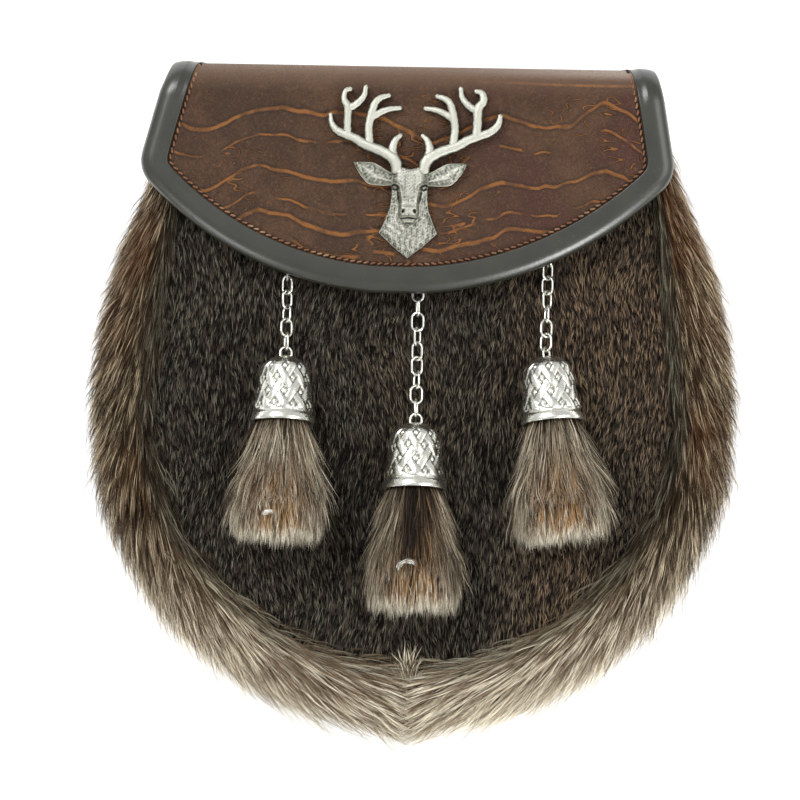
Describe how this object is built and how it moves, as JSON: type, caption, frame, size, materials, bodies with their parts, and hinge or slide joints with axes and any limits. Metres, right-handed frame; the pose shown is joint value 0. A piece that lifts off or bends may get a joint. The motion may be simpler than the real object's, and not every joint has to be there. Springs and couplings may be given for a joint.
{
  "type": "sporran pouch",
  "caption": "Fur and leather sporran pouch lying on its back: flap with rolled edging and cast stag badge, deep fur border, fur tassels in silver cones on chains.",
  "frame": {"origin": "on the surface the pouch lies on, under the middle of its outline", "axes": "+Z is the way the front looks, +Y is towards the top of the pouch, +X is to the right of someone looking at its front"},
  "size_m": [0.197, 0.2034, 0.0633],
  "materials": {
    "back_leather": "dark brown, matt",
    "dark_fur": "short dense fur, almost black",
    "border_fur": "deep grey-brown fur with pale tips",
    "flap_leather": "reddish brown with tooled lines, waxed",
    "edging_leather": "dark grey-brown, rolled and smooth",
    "pewter": "cast and antiqued",
    "silver": "polished, dark in the recesses",
    "tail_fur": "long grey-brown fur with pale ends"
  },
  "bodies": {
    "root": {"back_panel": "back_leather", "belt_loop_left": "back_leather", "belt_loop_right": "back_leather", "front_panel": "dark_fur", "fur_gusset_left": "border_fur", "fur_gusset_right": "border_fur", "flap": "flap_leather", "flap_binding": "edging_leather", "stag_badge": "pewter", "chain_staple_left": "silver", "link_left_1": "silver", "link_left_2": "silver", "link_left_3": "silver", "link_left_4": "silver", "link_left_5": "silver", "cone_left": "silver", "tail_left": "tail_fur", "chain_staple_middle": "silver", "link_middle_1": "silver", "link_middle_2": "silver", "link_middle_3": "silver", "link_middle_4": "silver", "link_middle_5": "silver", "link_middle_6": "silver", "link_middle_7": "silver", "link_middle_8": "silver", "link_middle_9": "silver", "link_middle_10": "silver", "cone_middle": "silver", "tail_middle": "tail_fur", "chain_staple_right": "silver", "link_right_1": "silver", "link_right_2": "silver", "link_right_3": "silver", "link_right_4": "silver", "link_right_5": "silver", "link_right_6": "silver", "cone_right": "silver", "tail_right": "tail_fur"}
  },
  "joints": []
}
